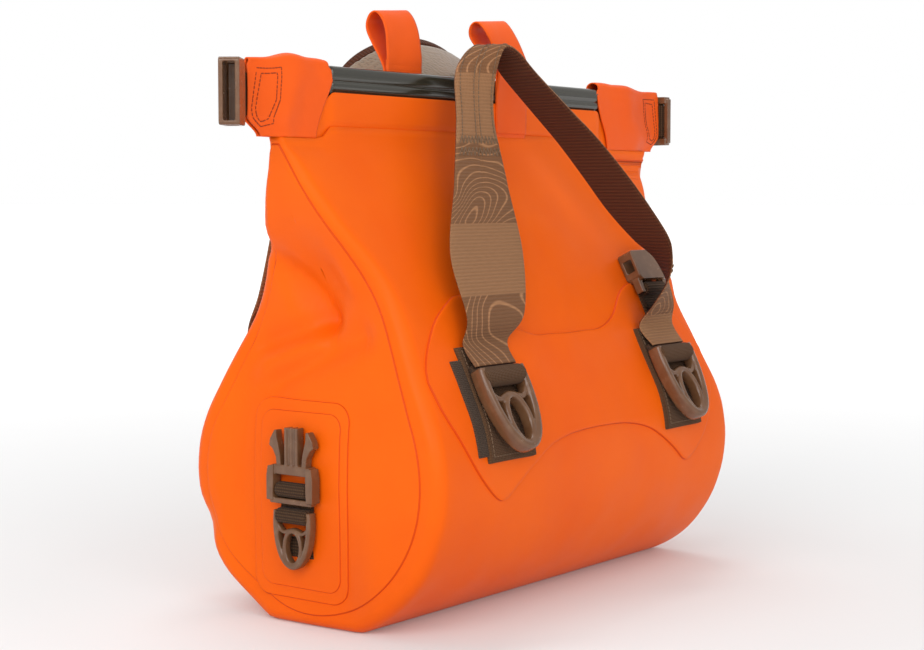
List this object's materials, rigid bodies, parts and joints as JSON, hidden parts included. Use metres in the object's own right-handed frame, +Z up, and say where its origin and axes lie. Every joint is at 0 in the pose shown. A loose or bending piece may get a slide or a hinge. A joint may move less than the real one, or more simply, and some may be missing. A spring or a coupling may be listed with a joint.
{
  "type": "waterproof strap bag",
  "caption": "Teardrop bag of coated fabric with a press-seal closure on top, a webbing handle, a padded shoulder strap, D-rings and side-release buckles.",
  "frame": {"origin": "middle of the flat strip under the bag, on the floor", "axes": "+X along the closure to the right end, -Y the front with the handle, +Z up"},
  "size_m": [0.5005, 0.2366, 0.384],
  "materials": {
    "bag_fabric": "satin coated fabric",
    "patch_fabric": "satin coated fabric, welded on",
    "seal": "glossy extruded seal",
    "wide_webbing": "patterned woven webbing",
    "narrow_webbing": "plain woven webbing",
    "buckle_plastic": "glossy moulded plastic",
    "pad": "padded mesh with a bound edge",
    "tag": "plain woven tag"
  },
  "bodies": {
    "bag": {"main_panel": "bag_fabric", "end_panel_left": "bag_fabric", "end_panel_right": "bag_fabric", "front_patch": "patch_fabric", "rear_patch": "patch_fabric", "front_anchor_left": "narrow_webbing", "front_anchor_right": "narrow_webbing", "rear_anchor_left": "narrow_webbing", "rear_anchor_right": "narrow_webbing", "side_tag": "tag", "front_roll_left": "narrow_webbing", "front_roll_right": "narrow_webbing", "front_buckle_webbing": "buckle_plastic", "front_buckle_roll": "narrow_webbing", "rear_roll_left": "narrow_webbing", "rear_roll_right": "narrow_webbing", "end_patch_left": "patch_fabric", "end_patch_right": "patch_fabric", "end_webbing_left": "narrow_webbing", "end_webbing_right": "narrow_webbing", "end_ring_roll_left": "narrow_webbing", "end_ring_roll_right": "narrow_webbing", "end_buckle_roll_left": "narrow_webbing", "end_buckle_roll_right": "narrow_webbing"},
    "closure": {"header_rear": "bag_fabric", "seal_rail_rear": "seal", "closure_tab_left": "bag_fabric", "closure_tab_right": "bag_fabric", "closure_webbing_left": "narrow_webbing", "closure_webbing_right": "narrow_webbing", "closure_roll_left": "narrow_webbing", "closure_roll_right": "narrow_webbing", "pull_loop_rear": "bag_fabric"},
    "front_seal": {"header_front": "bag_fabric", "seal_rail_front": "seal", "pull_loop_front": "bag_fabric"},
    "handle": {"front_handle": "wide_webbing"},
    "shoulder": {"shoulder_strap_left": "wide_webbing", "shoulder_strap_right": "wide_webbing", "shoulder_pad": "pad"},
    "front_ring_l": {"front_ring_left": "buckle_plastic"},
    "front_ring_r": {"front_ring_right": "buckle_plastic"},
    "rear_ring_l": {"rear_ring_left": "buckle_plastic"},
    "rear_ring_r": {"rear_ring_right": "buckle_plastic"},
    "end_ring_l": {"end_ring_left": "buckle_plastic"},
    "end_ring_r": {"end_ring_right": "buckle_plastic"},
    "end_male": {"end_male_buckle": "buckle_plastic"},
    "end_prong_a": {"end_prong_front": "buckle_plastic"},
    "end_prong_b": {"end_prong_rear": "buckle_plastic"},
    "end_female": {"end_female_buckle": "buckle_plastic"},
    "front_female": {"front_female_buckle": "buckle_plastic"},
    "closure_female": {"closure_female_buckle": "buckle_plastic"},
    "closure_male": {"closure_male_buckle": "buckle_plastic"},
    "closure_prong_a": {"closure_prong_upper": "buckle_plastic"},
    "closure_prong_b": {"closure_prong_lower": "buckle_plastic"}
  },
  "joints": [
    {"name": "closure_fold", "type": "hinge", "parent": "bag", "child": "closure", "pos_m": [0, -0.0074, 0.2964], "axis": [1, 0, 0], "range_deg": [0, 120]},
    {"name": "seal_open", "type": "hinge", "parent": "closure", "child": "front_seal", "pos_m": [0, -0.007, 0.2968], "axis": [1, 0, 0], "range_deg": [0, 9]},
    {"name": "handle_swing", "type": "hinge", "parent": "bag", "child": "handle", "pos_m": [0, -0.0726, 0.1725], "axis": [1, 0, 0], "range_deg": [0, 54]},
    {"name": "shoulder_swing", "type": "hinge", "parent": "bag", "child": "shoulder", "pos_m": [0, 0.08175, 0.1545], "axis": [-1, 0, 0], "range_deg": [0, 60]},
    {"name": "front_ring_l_swing", "type": "hinge", "parent": "bag", "child": "front_ring_l", "pos_m": [-0.102, -0.08994, 0.154], "axis": [-1, 0, 0], "range_deg": [0, 48]},
    {"name": "front_ring_r_swing", "type": "hinge", "parent": "bag", "child": "front_ring_r", "pos_m": [0.102, -0.08994, 0.154], "axis": [-1, 0, 0], "range_deg": [0, 48]},
    {"name": "rear_ring_l_swing", "type": "hinge", "parent": "bag", "child": "rear_ring_l", "pos_m": [-0.118, 0.09896, 0.136], "axis": [1, 0, 0], "range_deg": [0, 48]},
    {"name": "rear_ring_r_swing", "type": "hinge", "parent": "bag", "child": "rear_ring_r", "pos_m": [0.118, 0.09896, 0.136], "axis": [1, 0, 0], "range_deg": [0, 48]},
    {"name": "end_ring_l_swing", "type": "hinge", "parent": "bag", "child": "end_ring_l", "pos_m": [-0.1788, 0.009, 0.068], "axis": [0, 1, 0], "range_deg": [0, 95]},
    {"name": "end_ring_r_swing", "type": "hinge", "parent": "bag", "child": "end_ring_r", "pos_m": [0.1788, 0.009, 0.068], "axis": [0, -1, 0], "range_deg": [0, 95]},
    {"name": "end_male_swing", "type": "hinge", "parent": "bag", "child": "end_male", "pos_m": [-0.1788, 0.009, 0.084], "axis": [0, -1, 0], "range_deg": [0, 25]},
    {"name": "end_prong_a_press", "type": "hinge", "parent": "end_male", "child": "end_prong_a", "pos_m": [-0.1788, -0.0016, 0.0983], "axis": [-1, 0, 0], "range_deg": [0, 6], "stiffness_Nm_per_rad": 0.05},
    {"name": "end_prong_b_press", "type": "hinge", "parent": "end_male", "child": "end_prong_b", "pos_m": [-0.1788, 0.0196, 0.0983], "axis": [1, 0, 0], "range_deg": [0, 6], "stiffness_Nm_per_rad": 0.05},
    {"name": "end_female_swing", "type": "hinge", "parent": "bag", "child": "end_female", "pos_m": [0.1788, 0.009, 0.084], "axis": [0, 1, 0], "range_deg": [0, 60]},
    {"name": "front_female_swing", "type": "hinge", "parent": "bag", "child": "front_female", "pos_m": [0.117, -0.06455, 0.198], "axis": [1, 0, 0], "range_deg": [0, 7]},
    {"name": "closure_female_swing", "type": "hinge", "parent": "closure", "child": "closure_female", "pos_m": [-0.2348, 0, 0.3215], "axis": [0, 0, 1], "range_deg": [-60, 10]},
    {"name": "closure_male_swing", "type": "hinge", "parent": "closure", "child": "closure_male", "pos_m": [0.2348, 0, 0.3215], "axis": [0, 0, -1], "range_deg": [0, 30]},
    {"name": "closure_prong_a_press", "type": "hinge", "parent": "closure_male", "child": "closure_prong_a", "pos_m": [0.2348, 0.0143, 0.3321], "axis": [-1, 0, 0], "range_deg": [0, 6], "stiffness_Nm_per_rad": 0.05},
    {"name": "closure_prong_b_press", "type": "hinge", "parent": "closure_male", "child": "closure_prong_b", "pos_m": [0.2348, 0.0143, 0.3109], "axis": [1, 0, 0], "range_deg": [0, 6], "stiffness_Nm_per_rad": 0.05}
  ],
  "couplings": [
    {"joint": "handle_swing", "follows": "closure_fold", "ratio": 0.45},
    {"joint": "end_prong_b_press", "follows": "end_prong_a_press", "ratio": 1},
    {"joint": "closure_prong_b_press", "follows": "closure_prong_a_press", "ratio": 1}
  ]
}
